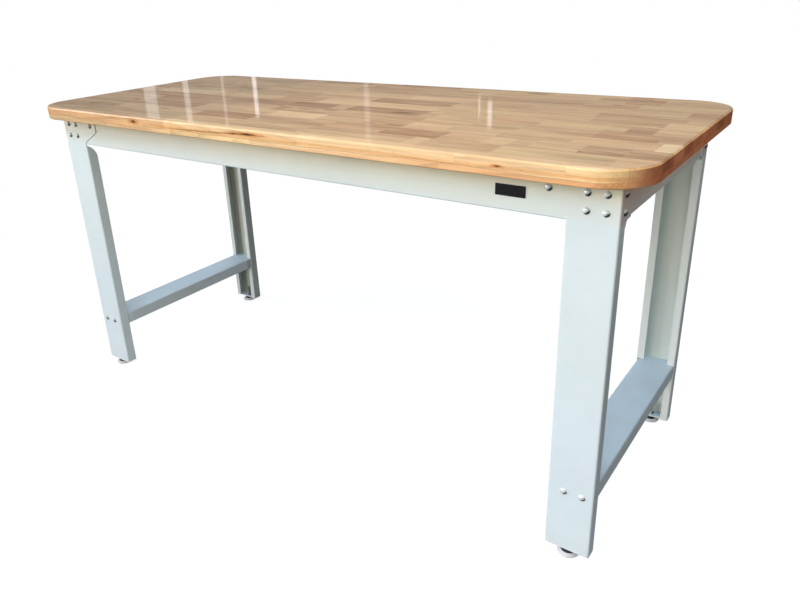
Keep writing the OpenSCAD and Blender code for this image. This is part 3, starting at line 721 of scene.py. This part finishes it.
def makePadMaterial(v):
    made, tree, shader, where = newMaterial("mouldedNylon")
    place, normal = where.outputs["Object"], where.outputs["Normal"]
    # painted shade: the pad is black round the stud in a pale rim, by distance from the stud's axis
    x, y, _ = parts(tree, place)
    away = reachOf(tree, *fromStud(tree, x, y, v))
    hub = remap(tree, away, v["hubRadius"] + v["hubSoft"], v["hubRadius"] - v["hubSoft"])
    colour = blendColour(tree, hub, v["colour"], v["hub"])
    mottle = mottleOver(tree, place, v["mottleSize"], v["mottle"])
    colour = vectorCalc(tree, "SCALE", colour, None, None, mottle)
    colour = blendColour(tree, dustOver(tree, place, normal, v), colour, v["dustColour"])
    join(tree, colour, shader.inputs["Base Color"])
    rough = spanned(tree, noise(tree, place, v["roughScale"], 3.0), v["roughFrom"], v["roughTo"])
    join(tree, rough, shader.inputs["Roughness"])
    relief = bump(tree, noise(tree, place, v["grainScale"], 2.0), v["grainHigh"], v["grain"])
    join(tree, relief, shader.inputs["Normal"])
    return made


padMaterial = makePadMaterial(padValues)
print("nylon pads finished")


# Carried-over nodes get their finishes
finishOf = (
    ("top_board", topMaterial), ("foot_pad", padMaterial), ("foot_stud", studMaterial),
    ("top_screws", zincMaterial), ("weld_nut", zincMaterial), ("lock_nut", zincMaterial),
)


def finishFor(name):
    for start, material in finishOf:
        if name.startswith(start):
            return material
    return zincMaterial if name.endswith(("_bolts", "_nuts")) else frameMaterial


for name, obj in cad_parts.items():
    material = finishFor(name)
    if not obj.material_slots:
        obj.data.materials.append(material)
    for holder in obj.material_slots:
        holder.material = material
print("finishes given to", len(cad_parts), "nodes")


# Bare plate on the front apron
plateValues = dict(
    left=0.6070, right=0.6700, low=0.7932, high=0.8163, face=-0.318, thick=0.0012, corner=0.0015,
    round=0.0005, aroundSteps=64, bowSteps=7, innermost=0.9,
    dark=(0.005, 0.005, 0.006), pale=(0.013, 0.013, 0.015), brushScale=(60.0, 60.0, 2600.0),
    dustSize=0.01, dustAmount=0.15, dustColour=(0.22, 0.22, 0.21),
    roughFrom=0.26, roughTo=0.40, gloss=0.15, grainHigh=0.00002, grain=0.6,
)


def makeBarePlate(v):
    # a rounded rectangle carried round as u, while v runs along the edge's profile: up the wall, over a
    # quarter circle, and in to the middle
    halfW, halfH = (v["right"] - v["left"]) / 2, (v["high"] - v["low"]) / 2
    count = v["aroundSteps"]
    angle = np.linspace(0, 2 * math.pi, count + 1)[:-1] + math.pi / count
    cornerX = np.sign(np.cos(angle)) * (halfW - v["corner"])
    cornerZ = np.sign(np.sin(angle)) * (halfH - v["corner"])
    bow = np.linspace(0, math.pi / 2, v["bowSteps"])
    inset = np.concatenate([[0.0], v["round"] * (1 - np.cos(bow)), [v["corner"] * v["innermost"]]])
    rise = np.concatenate([[0.0], v["thick"] - v["round"] + v["round"] * np.sin(bow), [v["thick"]]])
    reach = v["corner"] - inset
    px = cornerX[None, :] + reach[:, None] * np.cos(angle)[None, :]
    pz = cornerZ[None, :] + reach[:, None] * np.sin(angle)[None, :]
    py = np.repeat(v["face"] - rise[:, None], count, axis=1)
    middle = ((v["left"] + v["right"]) / 2, (v["low"] + v["high"]) / 2)
    points = np.stack([px + middle[0], py, pz + middle[1]], -1).reshape(-1, 3)
    rows = inset.size
    i = np.arange(count)
    j = (i + 1) % count
    quads = [np.stack([lower + i, lower + j, lower + count + j, lower + count + i], -1)
             for lower in range(0, (rows - 1) * count, count)]
    faces = np.concatenate(quads).tolist() + [((rows - 1) * count + i).tolist(), i[::-1].tolist()]
    mesh = bpy.data.meshes.new("bare_plate")
    mesh.from_pydata(points.tolist(), [], faces)
    mesh.polygons.foreach_set("use_smooth", np.ones(len(faces), bool))
    mesh.update()
    plate = bpy.data.objects.new("bare_plate", mesh)
    bpy.context.scene.collection.objects.link(plate)
    return plate


def makePlateMaterial(v):
    made, tree, shader, where = newMaterial("blackPlate")
    place, normal = where.outputs["Object"], where.outputs["Normal"]
    brushed = noise(tree, stretch(tree, place, *v["brushScale"]), 1.0, 3.0, 0.6)
    colour = blendColour(tree, spanned(tree, brushed), v["dark"], v["pale"])
    colour = blendColour(tree, dustOver(tree, place, normal, v), colour, v["dustColour"])
    join(tree, colour, shader.inputs["Base Color"])
    join(tree, spanned(tree, brushed, v["roughFrom"], v["roughTo"]), shader.inputs["Roughness"])
    shader.inputs["Specular IOR Level"].default_value = v["gloss"]
    join(tree, bump(tree, brushed, v["grainHigh"], v["grain"]), shader.inputs["Normal"])
    return made


barePlate = makeBarePlate(plateValues)
barePlate.data.materials.append(makePlateMaterial(plateValues))
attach(barePlate, "bench")
print("bare plate made")


# Floor, light and background
stageValues = dict(
    # the floor: a flat square, a hair below the pads, that keeps the bench's shadow and is white far out
    floorSize=24.0, floorDrop=0.0002, floorColour=(0.36, 0.37, 0.38), floorGlow=0.84,
    floorMirror=(0.09, 0.09, 0.095), keepShadow=1.6, fadeOut=2.6,
    bounceFade=(1.0, 1.4), bounceRight=0.1, mirrorFade=(0.9, 1.3), mirrorRight=0.10,
    # the sky is brighter on the left than on the right
    skyColour=(0.72, 0.93, 1.18), skyLevel=0.36, skyLeft=1.00, skyRight=0.16, skyMirrorFade=(0.02, 0.22),
    # big soft windows far away: name, where the light comes from, power, width as an angle, colour, and
    # whether mirrors see it
    windows=(("sideWindow", (-0.858, -0.495, 0.139), 2.65, 0.7, (0.98, 1.0, 1.04), True),
             ("frontWindow", (0.270, -0.740, 0.616), 1.55, 1.1, (1.02, 0.985, 0.93), True),
             ("rearWindow", (-0.500, 0.850, 0.080), 1.3, 0.7, (1.0, 1.0, 0.98), False)),
    # soft lamps near the bench: name, place, what they point at, width, height, power, colour
    lamps=(("benchLamp", (0.36, -0.62, 1.95), (0.36, -0.50, 0.88), 0.7, 0.7, 6.1, (1.0, 0.96, 0.90)),
           ("cornerLamp", (0.90, -1.40, 1.30), (0.70, -0.35, 0.85), 0.5, 0.5, 2.1, (1.0, 0.97, 0.92)),
           ("endLamp", (1.12, 0.0, 0.87), (0.90, 0.0, 0.85), 0.75, 0.06, 0.21, (1.0, 0.95, 0.90))),
    # tall window gaps behind the bench: place (x, y), width, low and high end, brightness
    gaps=((-7.56, 5.0, 0.17, 1.55, 2.75, 2.5), (-6.755, 5.0, 0.075, 1.55, 2.35, 2.8),
          (-6.01, 5.0, 0.035, 1.60, 2.40, 1.9), (-5.42, 5.0, 0.050, 1.55, 2.12, 5.6),
          (-3.66, 5.0, 0.060, 1.60, 2.30, 1.5), (-2.235, 5.0, 0.020, 1.70, 1.90, 3.6),
          (-2.116, 5.0, 0.045, 1.74, 2.00, 5.0)),
)


def shaded(tree, kind, *values):
    return put(tree, "ShaderNode" + kind, values).outputs[0]


def makeFloor(v):
    half = v["floorSize"] / 2
    mesh = bpy.data.meshes.new("floor")
    corners = ((-half, -half), (half, -half), (half, half), (-half, half))
    mesh.from_pydata([(x, y, -v["floorDrop"]) for x, y in corners], [], [(0, 1, 2, 3)])
    floor = bpy.data.objects.new("floor", mesh)
    bpy.context.scene.collection.objects.link(floor)
    made = bpy.data.materials.new("paleFloor")
    made.use_nodes = True
    tree = made.node_tree
    tree.nodes.clear()
    result = tree.nodes.new("ShaderNodeOutputMaterial")
    light = tree.nodes.new("ShaderNodeLightPath").outputs
    where = tree.nodes.new("ShaderNodeTexCoord")
    x, y, _ = parts(tree, where.outputs["Object"])
    fade = remap(tree, reachOf(tree, x, y), v["keepShadow"], v["fadeOut"], smooth=True)
    plain = shaded(tree, "BsdfDiffuse", (*v["floorColour"], 1))
    # less light comes back up from the floor on the right of the bench
    share = remap(tree, x, *v["bounceFade"], 1.0, v["bounceRight"])
    back = vectorCalc(tree, "SCALE", v["floorColour"], None, None, share)
    bounce = shaded(tree, "BsdfDiffuse", back)
    # straight on, the floor glows nearly white and its own light and shadow come on top
    glow = shaded(tree, "Emission", (1, 1, 1, 1), v["floorGlow"])
    lifted = shaded(tree, "AddShader", plain, glow)
    # far away it is white, but mirrors see it grey on the right of the bench
    right = remap(tree, x, *v["mirrorFade"], 1.0, v["mirrorRight"])
    level = calc(tree, "MAXIMUM", light["Is Camera Ray"], right)
    white = shaded(tree, "Emission", (1, 1, 1, 1), level)
    # mirrors see a darker floor near the bench, which gives bolt heads their dark lower rim
    dim = shaded(tree, "BsdfDiffuse", (*v["floorMirror"], 1))
    near = shaded(tree, "MixShader", light["Is Camera Ray"], dim, lifted)
    shown = shaded(tree, "MixShader", fade, near, white)
    straight = calc(tree, "MAXIMUM", light["Is Camera Ray"], light["Is Glossy Ray"])
    join(tree, shaded(tree, "MixShader", straight, bounce, shown), result.inputs[0])
    floor.data.materials.append(made)


def makeSky(v):
    world = bpy.data.worlds.new("paleStudio")
    bpy.context.scene.world = world
    world.use_nodes = True
    tree = world.node_tree
    tree.nodes.clear()
    result = tree.nodes.new("ShaderNodeOutputWorld")
    light = tree.nodes.new("ShaderNodeLightPath").outputs
    mirrored = calc(tree, "MAXIMUM", light["Is Glossy Ray"], light["Is Transmission Ray"])
    straight = calc(tree, "MAXIMUM", light["Is Camera Ray"], mirrored)
    where = tree.nodes.new("ShaderNodeTexCoord")
    across = parts(tree, vectorCalc(tree, "NORMALIZE", where.outputs["Generated"]))[0]
    level = product(tree, remap(tree, across, -1.0, 1.0, v["skyLeft"], v["skyRight"]), v["skyLevel"])
    soft = shaded(tree, "Background", (*v["skyColour"], 1), level)
    # mirrors see white, and grey towards the right
    dim = remap(tree, across, *v["skyMirrorFade"], 1.0, v["mirrorRight"], smooth=True)
    dim = calc(tree, "MAXIMUM", dim, light["Is Camera Ray"])
    white = shaded(tree, "Background", (1, 1, 1, 1), dim)
    join(tree, shaded(tree, "MixShader", straight, soft, white), result.inputs[0])


def addLight(name, kind, power, **settings):
    light = bpy.data.lights.new(name, kind)
    light.energy = power
    for key, value in settings.items():
        setattr(light, key, value)
    lamp = bpy.data.objects.new(name, light)
    bpy.context.scene.collection.objects.link(lamp)
    return lamp


def makeLights(v):
    for name, source, power, across, colour, mirrored in v["windows"]:
        lamp = addLight(name, "SUN", power, angle=across, color=colour)
        lamp.visible_glossy = mirrored
        aim = np.array(source) / np.linalg.norm(source)
        lamp.rotation_euler = (math.acos(aim[2]), 0, math.atan2(aim[1], aim[0]) + math.pi / 2)
    for name, place, target, wide, high, power, colour in v["lamps"]:
        lamp = addLight(name, "AREA", power, shape="ELLIPSE", size=wide, size_y=high, color=colour)
        lamp.location = place
        lamp.rotation_euler = (Vector(target) - Vector(place)).to_track_quat("-Z", "Y").to_euler()
        lamp.visible_camera = lamp.visible_glossy = False
    for i, (x, y, wide, low, high, level) in enumerate(v["gaps"]):
        # power for that brightness: pi times the area
        power = level * math.pi * wide * (high - low)
        lamp = addLight("windowGap%d" % i, "AREA", power, shape="RECTANGLE", size=wide, size_y=high - low)
        lamp.location = (x, y, (low + high) / 2)
        # its lit side faces the bench
        lamp.rotation_euler = (math.pi / 2, 0, math.atan2(y, x) + math.pi / 2)
        lamp.visible_camera = False


makeFloor(stageValues)
makeSky(stageValues)
makeLights(stageValues)
print("floor and lights placed")
